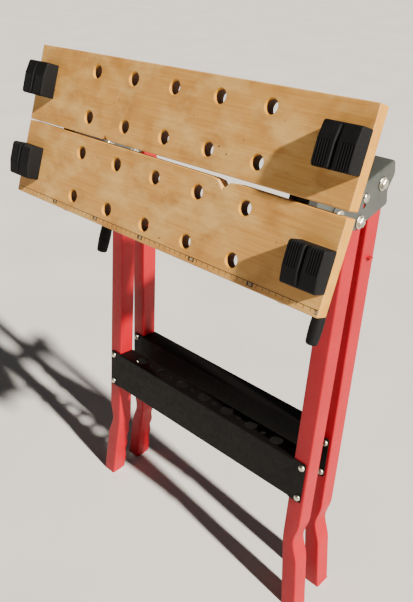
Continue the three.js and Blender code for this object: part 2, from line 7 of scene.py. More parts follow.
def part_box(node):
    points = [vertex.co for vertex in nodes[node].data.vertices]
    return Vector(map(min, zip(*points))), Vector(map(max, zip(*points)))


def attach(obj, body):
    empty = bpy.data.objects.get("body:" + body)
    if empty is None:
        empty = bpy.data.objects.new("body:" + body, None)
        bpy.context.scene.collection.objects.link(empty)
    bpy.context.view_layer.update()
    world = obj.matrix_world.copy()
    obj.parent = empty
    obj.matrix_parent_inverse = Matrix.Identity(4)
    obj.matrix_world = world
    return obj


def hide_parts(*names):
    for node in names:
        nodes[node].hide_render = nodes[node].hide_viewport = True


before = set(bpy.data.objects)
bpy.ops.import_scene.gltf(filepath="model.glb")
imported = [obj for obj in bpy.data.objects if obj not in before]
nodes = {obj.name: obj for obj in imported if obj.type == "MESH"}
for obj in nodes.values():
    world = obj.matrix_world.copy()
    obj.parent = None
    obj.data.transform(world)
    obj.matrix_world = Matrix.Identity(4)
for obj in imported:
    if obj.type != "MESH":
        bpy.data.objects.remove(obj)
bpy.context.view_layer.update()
scene = bpy.context.scene
mm = 0.001


# sRGB hex to the linear colour that sockets take
def toLinear(hexColour):
    parts = [int(hexColour[i:i + 2], 16) / 255 for i in (0, 2, 4)]
    return [c / 12.92 if c <= 0.04045 else ((c + 0.055) / 1.055) ** 2.4 for c in parts] + [1.0]


# One shader node: settings are its own properties, sockets are values or links, stops fill a colour ramp.
# A Mix node's sockets go by number: 0 is the share, 2 and 3 are its values, 6 and 7 its colours.
def addNode(tree, kind, sockets=None, stops=None, **settings):
    node = tree.nodes.new("ShaderNode" + kind)
    for key, value in settings.items():
        setattr(node, key, value)
    for key, value in (sockets or {}).items():
        if isinstance(value, bpy.types.NodeSocket):
            tree.links.new(value, node.inputs[key])
        else:
            node.inputs[key].default_value = value
    if stops:
        elements = node.color_ramp.elements
        while len(elements) < len(stops):
            elements.new(0.5)
        for element, (place, hexColour) in zip(elements, stops):
            element.position = place
            element.color = toLinear(hexColour)
    return node


def startMaterial(name, **values):
    material = bpy.data.materials.new(name)
    material.use_nodes = True
    tree = material.node_tree
    tree.nodes.clear()
    shader = addNode(tree, "BsdfPrincipled", values)
    addNode(tree, "OutputMaterial", {"Surface": shader.outputs["BSDF"]})
    place = addNode(tree, "TexCoord").outputs["Object"]
    return material, tree, shader, place


# Varnished plywood board: rotary-cut face veneer under a worn clear coat. The eye gets honey colour,
# long soft grain along the board, brown stains and pale patches where the coat is rubbed through.
def varnishedPly():
    look = {
        "grain": [(0.25, "ba8239"), (0.5, "c48f46"), (0.75, "cd9c52")],
        "grainSize": (90 * mm, 2.4 * mm),  # length and width of one grain streak
        "stain": "98611f", "stainSize": 48 * mm, "stainEdge": (0.48, 0.7), "stainShare": 0.6,
        "worn": "dcb56c", "wornSize": 40 * mm, "wornEdge": (0.48, 0.66), "wornShare": 0.65,
        "wornStretch": (0.55, 1, 1), "wornFrom": (0.31, 0.17, 0.23),  # longer along the board, clear of the stains
        "fleck": "5e3a17", "fleckGap": 27 * mm, "fleckEdge": (0.07, 0.025), "fleckShare": 0.55,
        "dullEdge": (0.4, 0.7), "roughness": (0.44, 0.74), "relief": 0.3 * mm,
    }
    material, tree, shader, place = startMaterial("varnished plywood, worn")
    long, wide = look["grainSize"]
    streaks = addNode(tree, "Mapping", {"Vector": place, "Scale": (1 / long, 1 / wide, 1 / wide)})
    grain = addNode(tree, "TexNoise", {"Vector": streaks.outputs[0], "Scale": 1, "Detail": 6, "Distortion": 0.6})
    tone = addNode(tree, "ValToRGB", {"Fac": grain.outputs[0]}, stops=look["grain"])

    low, high = look["stainEdge"]
    stains = addNode(tree, "TexNoise", {"Vector": place, "Scale": 1 / look["stainSize"], "Detail": 5})
    stainShare = addNode(tree, "MapRange", {"Value": stains.outputs[0], "From Min": low, "From Max": high,
                                            "To Max": look["stainShare"]})
    stained = addNode(tree, "Mix", {0: stainShare.outputs[0], 6: tone.outputs[0], 7: toLinear(look["stain"])},
                      data_type="RGBA")

    low, high = look["wornEdge"]
    moved = addNode(tree, "Mapping", {"Vector": place, "Location": look["wornFrom"], "Scale": look["wornStretch"]})
    rubbed = addNode(tree, "TexNoise", {"Vector": moved.outputs[0], "Scale": 1 / look["wornSize"], "Detail": 8,
                                        "Roughness": 0.6})
    wornShare = addNode(tree, "MapRange", {"Value": rubbed.outputs[0], "From Min": low, "From Max": high,
                                           "To Max": look["wornShare"]})
    worn = addNode(tree, "Mix", {0: wornShare.outputs[0], 6: stained.outputs[2], 7: toLinear(look["worn"])},
                   data_type="RGBA")

    rim, core = look["fleckEdge"]
    flecks = addNode(tree, "TexVoronoi", {"Vector": place, "Scale": 1 / look["fleckGap"]})
    fleckShare = addNode(tree, "MapRange", {"Value": flecks.outputs["Distance"], "From Min": rim, "From Max": core,
                                            "To Max": look["fleckShare"]})
    colour = addNode(tree, "Mix", {0: fleckShare.outputs[0], 6: worn.outputs[2], 7: toLinear(look["fleck"])},
                     data_type="RGBA")

    low, high = look["dullEdge"]
    smooth, matt = look["roughness"]
    dull = addNode(tree, "MapRange", {"Value": rubbed.outputs[0], "From Min": low, "From Max": high,
                                      "To Min": smooth, "To Max": matt})
    fibres = addNode(tree, "Bump", {"Height": grain.outputs[0], "Strength": 0.25, "Distance": look["relief"]})
    tree.links.new(colour.outputs[2], shader.inputs["Base Color"])
    tree.links.new(dull.outputs[0], shader.inputs["Roughness"])
    tree.links.new(fibres.outputs[0], shader.inputs["Normal"])
    return material


# Bare plywood: matt, short fibres; sawn edges are a pale yellow, drilled walls a dark brown that is painted shade
# inside the holes.
def barePly(name, tones):
    look = {"fibre": 1.6 * mm, "drift": 14 * mm, "roughness": 0.84, "relief": 0.3 * mm}
    material, tree, shader, place = startMaterial(name, Roughness=look["roughness"])
    fibre = addNode(tree, "TexNoise", {"Vector": place, "Scale": 1 / look["fibre"], "Detail": 4})
    drift = addNode(tree, "TexNoise", {"Vector": place, "Scale": 1 / look["drift"], "Detail": 3})
    blend = addNode(tree, "Mix", {0: 0.5, 2: fibre.outputs[0], 3: drift.outputs[0]})
    tone = addNode(tree, "ValToRGB", {"Fac": blend.outputs[0]}, stops=tones)
    rough = addNode(tree, "Bump", {"Height": fibre.outputs[0], "Strength": 0.4, "Distance": look["relief"]})
    tree.links.new(tone.outputs[0], shader.inputs["Base Color"])
    tree.links.new(rough.outputs[0], shader.inputs["Normal"])
    return material


# Stove enamel on pressed steel: a smooth sprayed coat with a slight orange-peel about 2 mm across, and
# scuffs that dull it. Red legs, black channels and grey arms each have their own tones.
enamelWear = {"drift": 70 * mm, "rub": 9 * mm, "rubEdge": (0.6, 0.78), "dullEdge": (0.35, 0.75), "relief": 0.2 * mm}


def stoveEnamel(name, look):
    material, tree, shader, place = startMaterial(name, **look["sockets"])
    drift = addNode(tree, "TexNoise", {"Vector": place, "Scale": 1 / enamelWear["drift"], "Detail": 4})
    tone = addNode(tree, "ValToRGB", {"Fac": drift.outputs[0]}, stops=look["tones"])

    low, high = enamelWear["rubEdge"]
    rubs = addNode(tree, "TexNoise", {"Vector": place, "Scale": 1 / enamelWear["rub"], "Detail": 8,
                                      "Roughness": 0.7})
    rubShare = addNode(tree, "MapRange", {"Value": rubs.outputs[0], "From Min": low, "From Max": high,
                                          "To Max": look["scuff"]})
    colour = addNode(tree, "Mix", {0: rubShare.outputs[0], 6: tone.outputs[0], 7: toLinear(look["dust"])},
                     data_type="RGBA")

    low, high = enamelWear["dullEdge"]
    smooth, matt = look["roughness"]
    dull = addNode(tree, "MapRange", {"Value": rubs.outputs[0], "From Min": low, "From Max": high,
                                      "To Min": smooth, "To Max": matt})
    peel = addNode(tree, "TexNoise", {"Vector": place, "Scale": 1 / look["peel"], "Detail": 2})
    skin = addNode(tree, "Bump", {"Height": peel.outputs[0], "Strength": 0.12, "Distance": enamelWear["relief"]})
    tree.links.new(colour.outputs[2], shader.inputs["Base Color"])
    tree.links.new(dull.outputs[0], shader.inputs["Roughness"])
    tree.links.new(skin.outputs[0], shader.inputs["Normal"])
    return material


# Bright zinc plate with a clear passivate on steel: cool metal with a faint straw tint and dull blooms.
def zincPlate():
    look = {"tones": [(0.35, "a9a597"), (0.55, "cfcbbd"), (0.75, "d8cfae")], "bloom": 6 * mm, "grit": 0.8 * mm,
            "dullEdge": (0.3, 0.7), "roughness": (0.24, 0.46), "relief": 0.1 * mm}
    material, tree, shader, place = startMaterial("zinc plate on steel", Metallic=1.0)
    bloom = addNode(tree, "TexNoise", {"Vector": place, "Scale": 1 / look["bloom"], "Detail": 5})
    tone = addNode(tree, "ValToRGB", {"Fac": bloom.outputs[0]}, stops=look["tones"])
    low, high = look["dullEdge"]
    smooth, matt = look["roughness"]
    dull = addNode(tree, "MapRange", {"Value": bloom.outputs[0], "From Min": low, "From Max": high,
                                      "To Min": smooth, "To Max": matt})
    grit = addNode(tree, "TexNoise", {"Vector": place, "Scale": 1 / look["grit"], "Detail": 2})
    skin = addNode(tree, "Bump", {"Height": grit.outputs[0], "Strength": 0.1, "Distance": look["relief"]})
    tree.links.new(tone.outputs[0], shader.inputs["Base Color"])
    tree.links.new(dull.outputs[0], shader.inputs["Roughness"])
    tree.links.new(skin.outputs[0], shader.inputs["Normal"])
    return material


# Moulded polypropylene, black: a fine spark-eroded texture that spreads highlights, with grey scuffs and dust.
def mouldedPlastic():
    look = {"tones": [(0.35, "030304"), (0.7, "07080a")], "dust": "1f2022", "scuffSize": 14 * mm,
            "scuffEdge": (0.62, 0.82), "scuffShare": 0.3, "dullEdge": (0.3, 0.7), "roughness": (0.62, 0.84),
            "texture": 0.9 * mm, "relief": 0.2 * mm, "sockets": {"Specular IOR Level": 0.22}}
    material, tree, shader, place = startMaterial("polypropylene, moulded", **look["sockets"])
    scuff = addNode(tree, "TexNoise", {"Vector": place, "Scale": 1 / look["scuffSize"], "Detail": 9,
                                       "Roughness": 0.68})
    tone = addNode(tree, "ValToRGB", {"Fac": scuff.outputs[0]}, stops=look["tones"])
    low, high = look["scuffEdge"]
    share = addNode(tree, "MapRange", {"Value": scuff.outputs[0], "From Min": low, "From Max": high,
                                       "To Max": look["scuffShare"]})
    colour = addNode(tree, "Mix", {0: share.outputs[0], 6: tone.outputs[0], 7: toLinear(look["dust"])},
                     data_type="RGBA")
    low, high = look["dullEdge"]
    smooth, matt = look["roughness"]
    dull = addNode(tree, "MapRange", {"Value": scuff.outputs[0], "From Min": low, "From Max": high,
                                      "To Min": smooth, "To Max": matt})
    spark = addNode(tree, "TexNoise", {"Vector": place, "Scale": 1 / look["texture"], "Detail": 1})
    skin = addNode(tree, "Bump", {"Height": spark.outputs[0], "Strength": 0.18, "Distance": look["relief"]})
    tree.links.new(colour.outputs[2], shader.inputs["Base Color"])
    tree.links.new(dull.outputs[0], shader.inputs["Roughness"])
    tree.links.new(skin.outputs[0], shader.inputs["Normal"])
    return material


# Screen-printed ink on the varnish: a thin matt film, broken where it has rubbed away.
def printedInk(name, tones):
    look = {"roughness": 0.6, "rub": 3 * mm}
    material, tree, shader, place = startMaterial(name, Roughness=look["roughness"])
    rub = addNode(tree, "TexNoise", {"Vector": place, "Scale": 1 / look["rub"], "Detail": 4})
    tone = addNode(tree, "ValToRGB", {"Fac": rub.outputs[0]}, stops=tones)
    tree.links.new(tone.outputs[0], shader.inputs["Base Color"])
    return material


enamelLooks = {
    "red": {"tones": [(0.3, "980016"), (0.7, "a4021a")], "dust": "a41a26", "scuff": 0.2,
            "roughness": (0.42, 0.62), "peel": 2.4 * mm, "sockets": {"Specular IOR Level": 0.3}},
    "black": {"tones": [(0.3, "040303"), (0.7, "080606")], "dust": "181513", "scuff": 0.25,
              "roughness": (0.5, 0.72), "peel": 2.0 * mm, "sockets": {"Specular IOR Level": 0.16}},
    "grey": {"tones": [(0.3, "3c403d"), (0.7, "4c504c")], "dust": "7b7d76", "scuff": 0.4,
             "roughness": (0.38, 0.6), "peel": 1.6 * mm, "sockets": {"Metallic": 0.25}},
}
board = varnishedPly()
# The sawn-edge tone also goes on each hole's bevel and mouth as a painted highlight; the drilled-wall tone is
# painted shade deeper in the holes.
boardEdge = barePly("plywood, sawn edge", [(0.35, "b27716"), (0.65, "c6902c")])
boardBoreShade = barePly("plywood, drilled wall, painted shade", [(0.35, "4a2c14"), (0.65, "70492a")])
redEnamel = stoveEnamel("red stove enamel, sprayed", enamelLooks["red"])
blackEnamel = stoveEnamel("black stove enamel, sprayed", enamelLooks["black"])
greyEnamel = stoveEnamel("grey stove enamel, sprayed", enamelLooks["grey"])
zinc = zincPlate()
plastic = mouldedPlastic()
# The dark ink also colours the nail holes, as painted shade.
darkInkAndHoleShade = printedInk("dark ink, screen printed, and painted shade of nail holes", [(0.35, "1c120a"), (0.7, "4d341d")])
paleInk = printedInk("pale ink, screen printed", [(0.35, "d9bf90"), (0.7, "c0a06c")])
print("materials ready")


# Frames of the standing bench: legs lean back, the arms rise from them, the top leans on the tilt pin
pose = {"lean": 6, "topLean": 15, "armRise": 18, "rearSwing": 1.8, "pinInLegs": (0, -31, 706), "setback": 44.5}


def turn(axis, degrees):
    return Matrix.Rotation(math.radians(degrees), 4, axis)


def shift(x, y, z):
    return Matrix.Translation((x * mm, y * mm, z * mm))


def middle(node):
    low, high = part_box(node)
    return (low + high) / 2


pin = (middle("tilt_pin_right") + middle("tilt_pin_left")) / 2
pin.x = middle("front_channel").x
legsFrame = Matrix.Translation(pin) @ turn("X", -pose["lean"]) @ shift(*[-c for c in pose["pinInLegs"]])
armsFrame = Matrix.Translation(pin) @ turn("X", pose["armRise"] - pose["lean"])
topFrame = Matrix.Translation(pin) @ turn("X", -pose["topLean"] - pose["lean"])


crease = 35  # degrees; a bend above this stays a sharp edge unless a piece has its own limit


def finishMesh(name, mesh, sharp=crease):
    mesh.name = name
    mesh.validate()
    mesh.shade_smooth()
    mesh.set_sharp_from_angle(angle=math.radians(sharp))
    return mesh


def meshOf(name, points, faces, sharp=crease):
    mesh = bpy.data.meshes.new(name)
    mesh.from_pydata([Vector(p) * mm for p in points], [], faces)
    return finishMesh(name, mesh, sharp)


def mirrored(mesh):
    other = mesh.copy()
    other.transform(Matrix.Scale(-1, 4, (1, 0, 0)))
    other.flip_normals()
    return other


# A skin over rings of points in step with each other, closed at both ends
def loft(name, rings, sharp=crease):
    count = len(rings[0])
    faces = []
    for r in range(len(rings) - 1):
        for i in range(count):
            j = (i + 1) % count
            faces.append((r * count + i, r * count + j, (r + 1) * count + j, (r + 1) * count + i))
    last = (len(rings) - 1) * count
    faces += [tuple(reversed(range(count))), tuple(range(last, last + count))]
    return meshOf(name, [p for ring in rings for p in ring], faces, sharp)


alongAxis = {"X": turn("Y", 90), "Y": turn("X", -90), "Z": Matrix.Identity(4)}


# A turned piece from a profile of (radius, distance) along an axis; six sides make a hexagon
def turned(name, profile, along="Z", sides=32):
    angles = [2 * math.pi * i / sides for i in range(sides)]
    rings = []
    for radius, distance in profile:
        wide = max(radius, 0.01)  # no ring closes to a point
        rings.append([(wide * math.cos(a), wide * math.sin(a), distance) for a in angles])
    mesh = loft(name, rings)
    mesh.transform(alongAxis[along])
    return mesh


# The rim and crown of a domed head standing on a face, from rim to crown
def domed(radius, tall, face, way=1, steps=8):
    angles = [math.pi / 2 / steps * i for i in range(steps + 1)]
    return [(radius * math.cos(a), face + way * tall * math.sin(a)) for a in angles]


# A profile of corners (a, b, radius), each rounded where it has a radius
def rounded(corners, steps=5):
    points = []
    count = len(corners)
    for i, (a, b, *radius) in enumerate(corners):
        here = Vector((a, b))
        if not radius:
            points.append(here)
            continue
        before, after = [(Vector(corners[n % count][:2]) - here).normalized() * radius[0] + here
                         for n in (i - 1, i + 1)]
        for s in range(steps + 1):
            t = s / steps
            points.append(before * (1 - t) ** 2 + here * 2 * t * (1 - t) + after * t ** 2)
    return points


def circle(x, y, radius, sides=28):
    return [Vector((x + radius * math.cos(2 * math.pi * i / sides), y + radius * math.sin(2 * math.pi * i / sides)))
            for i in range(sides)]


def meshFromCurve(name, curve, axes):
    carrier = bpy.data.objects.new(name, curve)
    scene.collection.objects.link(carrier)
    mesh = bpy.data.meshes.new_from_object(carrier.evaluated_get(bpy.context.evaluated_depsgraph_get()))
    bpy.data.objects.remove(carrier)
    bpy.data.curves.remove(curve)
    mesh.transform(axes)
    return finishMesh(name, mesh)


# A flat plate with holes and softened edges, cut in the local XY plane and centred on Z = 0
def cutPlate(name, outline, holes, thickness, edge, axes=Matrix.Identity(4)):
    curve = bpy.data.curves.new(name, "CURVE")
    curve.dimensions = "2D"
    curve.fill_mode = "BOTH"
    for loop in [outline, *holes]:
        spline = curve.splines.new("POLY")
        spline.points.add(len(loop) - 1)
        for point, place in zip(spline.points, loop):
            point.co = (place[0] * mm, place[1] * mm, 0, 1)
        spline.use_cyclic_u = True
    curve.extrude = (thickness / 2 - edge) * mm
    curve.bevel_depth = edge * mm
    curve.bevel_resolution = 2
    curve.offset = -edge * mm
    return meshFromCurve(name, curve, axes)


acrossAxes = Matrix(((0, 0, 1, 0), (1, 0, 0, 0), (0, 1, 0, 0), (0, 0, 0, 1)))  # plate (a, b) lies on (y, z)
facingAxes = Matrix(((1, 0, 0, 0), (0, 0, -1, 0), (0, 1, 0, 0), (0, 0, 0, 1)))  # plate (a, b) lies on (x, z)


def joined(name, meshes, sharp=crease):
    points, faces, total = [], [], 0
    for mesh in meshes:
        points += [v.co / mm for v in mesh.vertices]
        faces += [tuple(i + total for i in p.vertices) for p in mesh.polygons]
        total += len(mesh.vertices)
    return meshOf(name, points, faces, sharp)


# The place goes into the mesh, so that each piece's box stays square to the room
def addPiece(name, mesh, materials, place, body, slot, *replaced):
    mesh.transform(place)
    piece = bpy.data.objects.new(name, mesh)
    scene.collection.objects.link(piece)
    for material in materials:
        mesh.materials.append(material)
    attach(piece, body)
    if replaced:
        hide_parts(*replaced)
    return piece


sides = (("right", 1), ("left", -1))


# The same shape on both sides of the bench, mirrored for the left
def addPair(name, mesh, material, place, body, slot, node):
    other = mirrored(mesh)
    for (side, _), shape in zip(sides, (mesh, other)):
        addPiece(name + "_" + side, shape, [material], place, body, slot, node + "_" + side)


# Jaw boards
jaw = {
    "length": 605, "width": 116, "thickness": 19, "faceAhead": 92.6, "edge": 1.2, "soft": 2.5, "endZone": 6,
    "hole": 9.5, "rim": 1.4, "mouth": 4.6,  # the rim reaches over the bevel round a hole and the mouth is the first part of its wall; both are painted pale as a painted highlight
    "columns": [143 + 81 * i - 302.5 for i in range(5)], "rows": (25, 91), "dogAt": 277.5,
    "frontAt": -108.4, "rearAt": 12.0, "rearSkew": -math.degrees(math.atan2(5.2, 605)), "dogRow": (53, 63),
}


def jawMesh(name, dogRow, lowNotch, highNotch):
    half, width, soft = jaw["length"] / 2, jaw["width"], jaw["soft"]
    corners = [(-half, 0, soft), *lowNotch, (half, 0, soft), (half, width, soft), *highNotch, (-half, width, soft)]
    centres = [(x, z) for x in jaw["columns"] for z in jaw["rows"]]
    centres += [(side * jaw["dogAt"], dogRow) for side in (-1, 1)]
    axes = shift(0, jaw["thickness"] / 2 - jaw["faceAhead"], 0) @ facingAxes
    holes = [circle(x, z, jaw["hole"]) for x, z in centres]
    mesh = cutPlate(name, rounded(corners), holes, jaw["thickness"], jaw["edge"], axes)
    mouth = jaw["mouth"] - jaw["faceAhead"]
    shape = bmesh.new()
    shape.from_mesh(mesh)
    bmesh.ops.bisect_plane(shape, geom=[*shape.verts, *shape.edges, *shape.faces], plane_co=(0, mouth * mm, 0),
                           plane_no=(0, 1, 0))
    shape.to_mesh(mesh)
    shape.free()
    faceOn, edgeOn, wallOn, endwise = 0.98, 0.5, 0.4, 0.3  # how far a polygon's normal points ahead or endwise
    for face in mesh.polygons:
        at = face.center / mm
        inHole = min(math.hypot(at.x - x, at.z - z) for x, z in centres) < jaw["hole"] + jaw["rim"]
        facing = abs(face.normal.y)
        if inHole and facing < faceOn:
            face.material_index = 2 if facing < wallOn and at.y > mouth else 1  # painted shade on the deeper wall, painted highlight on the bevel and mouth
        elif facing < edgeOn and (abs(face.normal.x) < endwise or abs(at.x) > half - jaw["endZone"]):
            face.material_index = 1  # sawn edges, not the worn notches
    return mesh


smallNotch = [(-120.5, 0), (-114.5, 6), (-108.5, 0)]
largeNotch = [(143.5, 116), (133, 114.6), (122.5, 104), (112, 114.6), (101.5, 116)]
frontJawFrame = topFrame @ shift(0, 0, jaw["frontAt"])
rearJawFrame = topFrame @ shift(0, 0, jaw["rearAt"]) @ turn("Y", jaw["rearSkew"])
boardLooks = [board, boardEdge, boardBoreShade]
frontBoard = jawMesh("frontJawBoard", jaw["dogRow"][0], [], largeNotch)
rearBoard = jawMesh("rearJawBoard", jaw["dogRow"][1], smallNotch, [])
addPiece("frontJawBoard", frontBoard, boardLooks, frontJawFrame, "top", "wood", "front_jaw")
addPiece("rearJawBoard", rearBoard, boardLooks, rearJawFrame, "rear_jaw", "wood", "rear_jaw")
print("jaw boards cut")

# Ruler printed along the front jaw's outer edge: a line, ticks, and plain numbers on dark patches
ruler = {
    "line": 8.6, "lineWidth": 0.8, "start": 3.5, "centimetres": 60, "tick": 4, "fiveTick": 5.4, "tickWidth": 0.7,
    "lift": 0.06, "sunk": 0.1, "patch": (-5, 5, 3.6, 9.4), "lastPatch": 1.5,
    "numberSize": 5.6, "numberFoot": 4.4, "lastNumber": 2.4,  # the last number moves in from the board's end
}


def inkStrip(x, z):
    layers = (ruler["sunk"] - jaw["faceAhead"], -ruler["lift"] - jaw["faceAhead"])
    return loft("inkStrip", [[(x[0], y, z[0]), (x[1], y, z[0]), (x[1], y, z[1]), (x[0], y, z[1])] for y in layers])


def rulerMarks():
    left = ruler["start"] - jaw["length"] / 2
    strips = [inkStrip((left, left + 10 * ruler["centimetres"]),
                       (ruler["line"], ruler["line"] + ruler["lineWidth"]))]
    for mark in range(ruler["centimetres"] + 1):
        x = left + 10 * mark
        if mark and mark % 10 == 0:
            low, high, foot, top = ruler["patch"]
            strips.append(inkStrip((x + low, min(x + high, jaw["length"] / 2 - ruler["lastPatch"])), (foot, top)))
            continue
        tall = ruler["fiveTick"] if mark % 5 == 0 else ruler["tick"]
        strips.append(inkStrip((x - ruler["tickWidth"] / 2, x + ruler["tickWidth"] / 2),
                               (ruler["line"] - tall, ruler["line"])))
    return joined("rulerMarks", strips)


def rulerNumber(value):
    words = bpy.data.curves.new("rulerNumber", "FONT")
    words.body = str(value)
    words.size = ruler["numberSize"] * mm
    words.align_x = "CENTER"
    words.extrude = ruler["lift"] * mm
    inward = ruler["lastNumber"] if value == ruler["centimetres"] else 0
    x = ruler["start"] - jaw["length"] / 2 + 10 * value - inward
    place = shift(x, -jaw["faceAhead"] - ruler["lift"], ruler["numberFoot"])
    return meshFromCurve("rulerNumber", words, place @ facingAxes)


numbers = joined("rulerNumbers", [rulerNumber(value) for value in range(10, ruler["centimetres"] + 1, 10)])
addPiece("rulerMarks", rulerMarks(), [darkInkAndHoleShade], frontJawFrame, "top", "wood")
addPiece("rulerNumbers", numbers, [paleInk], frontJawFrame, "top", "wood")

# Nail holes left in the boards: small dark discs let into the face, their colour painted shade standing for the
# holes' depth
nailHoles = {"radius": 1.2, "front": [(37.1, 16.1)], "rear": [(101.2, 32), (115.4, 24.9)], "lift": 0.05, "sunk": 3}
for where, holder, body in (("front", frontJawFrame, "top"), ("rear", rearJawFrame, "rear_jaw")):
    radius, face = nailHoles["radius"], -jaw["faceAhead"]
    near, far = face - nailHoles["lift"], face + nailHoles["sunk"]
    shadeDiscs = []
    for x, z in nailHoles[where]:
        shadeDiscs.append(turned("nailHole", [(0, near), (radius, near), (radius, far), (0, far)], "Y", 14))
        shadeDiscs[-1].transform(shift(x, 0, z))
    addPiece("nailHoles_" + where, joined("nailHoles", shadeDiscs), [darkInkAndHoleShade], holder, body, "wood")
print("ruler printed")

# Swivel dogs: two bands of fine grooves beside a V-groove, plain slope at the outer side
dogForm = {
    "length": 50, "width": 51, "height": 24.9, "seat": 0.3, "slopeStart": 5, "slopeDrop": 4, "slopeRound": 3,
    "round": 5, "bandStart": 6.8, "pitch": 3.3, "grooves": 5, "groove": 1.6, "deep": 1.4, "grooveWall": 0.25,
    "grooveEnd": 0.2, "foot": 6, "veeHalf": 3, "veeDeep": 4, "veeSteps": 3,
    "endRound": 2.2, "endSteps": (0.25, 0.6, 1.2), "pegRadius": 9.1, "pegLength": 19, "pegChamfer": 1, "sharp": 28,
}


def dogStations():
    half, wall = dogForm["length"] / 2, dogForm["grooveWall"]
    stations = [(x, 0.0) for x in (-half, half)]
    for inset in (*dogForm["endSteps"], dogForm["endRound"]):
        stations += [(-half + inset, 0.0), (half - inset, 0.0)]
    for i in range(dogForm["grooves"]):
        at = dogForm["bandStart"] + (i + 0.5) * dogForm["pitch"]
        for middleX in (-at, at):
            low, high = middleX - dogForm["groove"] / 2, middleX + dogForm["groove"] / 2
            stations += [(low - wall, 0), (low + wall, 1), (high - wall, 1), (high + wall, 0)]
    steps = dogForm["veeSteps"]
    stations += [(dogForm["veeHalf"] * i / steps, 0.0) for i in range(-steps, steps + 1)]
    return sorted(stations)


def dogRing(x, groove):
    half, side, height = dogForm["length"] / 2, dogForm["width"] / 2, dogForm["height"]
    fromEnd = half - abs(x)
    r = dogForm["endRound"]
    inset = r - math.sqrt(max(0, r * r - (r - fromEnd) ** 2)) if fromEnd < r else 0
    deep = max(groove * dogForm["deep"], 0.001)  # keeps points apart where there is no groove
    vee = dogForm["veeDeep"] * max(0, 1 - abs(x) / dogForm["veeHalf"])
    start, end = dogForm["slopeStart"], dogForm["grooveEnd"]
    profile = rounded([
        (-dogForm["seat"], -side + inset), (-dogForm["seat"], side - inset),
        (dogForm["slopeDrop"] - height + inset, side - inset, dogForm["slopeRound"]),
        (inset - height, start), (inset + deep - height, start - end),
        (inset + deep - height, inset + deep - side, dogForm["round"] - deep),
        (-dogForm["foot"], inset + deep - side), (-dogForm["foot"] + end, inset - side),
    ], 6)
    return [(x, max(y, vee - height), z) for y, z in profile]


def dogMesh(name):
    block = loft(name, [dogRing(x, groove) for x, groove in dogStations()], dogForm["sharp"])
    radius, length, soft = dogForm["pegRadius"], dogForm["pegLength"], dogForm["pegChamfer"]
    peg = turned(name, [(0, 0), (radius, 0), (radius, length - soft), (radius - soft, length), (0, length)], "Y")
    return joined(name, [block, peg], dogForm["sharp"])


for where, holder, facing, row in (("front", frontJawFrame, 180, 0), ("rear", rearJawFrame, 0, 1)):
    for side, sign in sides:
        place = holder @ shift(sign * jaw["dogAt"], -jaw["faceAhead"], jaw["dogRow"][row]) @ turn("Y", facing)
        node = "dog_" + where + "_" + side
        addPiece("dogBlock_" + where + "_" + side, dogMesh("dogBlock"), [plastic], place, node, "black_plastic",
                 node)
print("dogs moulded")

# Arms: inverted U of pressed steel over the leg tops, with a rounded fold and a pressed dart under it
armForm = {
    "centre": 223.5, "outer": 17, "wall": 2, "top": 16.5, "fold": 6, "foldRound": 4.5, "bottom": -39, "heel": 29,
    "rear": 128.4, "step": 109, "stepTop": -3, "stepBottom": -19, "nose": 16, "flangeStart": 26, "corner": 6,
    "flangeDrop": 1, "lap": 0.3, "edge": 0.35, "spareHole": (54.5, -14.5, 3.5), "frontBolt": (42.4, -32),
    "rivet": (58.2, -4.3), "pivot": (97.1, -3),
    "dart": {"at": 77, "half": 8, "foot": -2, "top": 12.5, "crest": 10.5, "out": 1.8, "sunk": 0.2, "sharp": 10},
}


def armMesh(name):
    form = armForm
    nose, corner, shoulder = form["nose"], form["corner"], form["top"] - form["fold"]
    outline = rounded([
        (-nose, -nose, nose), (0, -nose),
        (form["heel"], form["bottom"], corner), (form["step"], form["bottom"], corner),
        (form["step"], form["stepBottom"], corner), (form["rear"], form["stepTop"], corner),
        (form["rear"], shoulder), (form["flangeStart"], shoulder),
        (form["flangeStart"], form["top"] - form["flangeDrop"]), (0, nose), (-nose, nose, nose),
    ], 8)
    middleX = form["outer"] - form["wall"] / 2
    plates = [cutPlate(name, outline, [circle(*form["spareHole"])] if sign > 0 else [], form["wall"], form["edge"],
                       shift(sign * middleX, 0, 0) @ acrossAxes) for sign in (1, -1)]
    outer, inner, under = form["outer"], form["outer"] - form["wall"], form["top"] - form["wall"]
    low, bend, inBend = shoulder - form["lap"], form["foldRound"], form["foldRound"] - form["wall"]
    section = rounded([(-outer, low), (-outer, form["top"], bend), (outer, form["top"], bend), (outer, low),
                       (inner, low), (inner, under, inBend), (-inner, under, inBend), (-inner, low)], 6)
    fold = loft(name, [[(p.x, y, p.y) for p in section] for y in (form["flangeStart"], form["rear"])])
    dart = form["dart"]
    darts = []
    for sign in (1, -1):
        face = sign * (outer - dart["sunk"])
        base = [(face, dart["at"] - dart["half"], dart["top"]), (face, dart["at"] + dart["half"], dart["top"]),
                (face, dart["at"], dart["foot"])]
        crest = (face + sign * dart["out"], dart["at"], dart["crest"])
        loops = [(0, 1, 3), (1, 2, 3), (2, 0, 3), (0, 2, 1)]
        if sign > 0:
            loops = [tuple(reversed(loop)) for loop in loops]
        darts.append(meshOf(name, [*base, crest], loops, dart["sharp"]))
    mesh = joined(name, [*plates, fold, *darts])
    mesh.transform(shift(form["centre"], 0, 0))
    return mesh


addPair("armSteel", armMesh("armSteel"), greyEnamel, armsFrame, "front_frame", "grey_paint", "arm")
print("arms pressed")

# Fasteners through the arms: hexagon bolts on washers, rivets and the tilt pins, along X
armFasteners = {
    "face": 17.3, "bolt": {"shank": 4, "head": 7.2, "headTall": 4.6, "nut": 6.5, "nutTall": 7, "chamfer": 0.8,
                           "tip": 0.8, "lap": 1},
    "washer": {"radius": 9.5, "thick": 1.6, "edge": 0.3}, "rivet": {"shank": 3, "head": 6.8, "tall": 3.2},
    "tiltPin": {"shank": 5, "head": 8, "tall": 2.5},
}


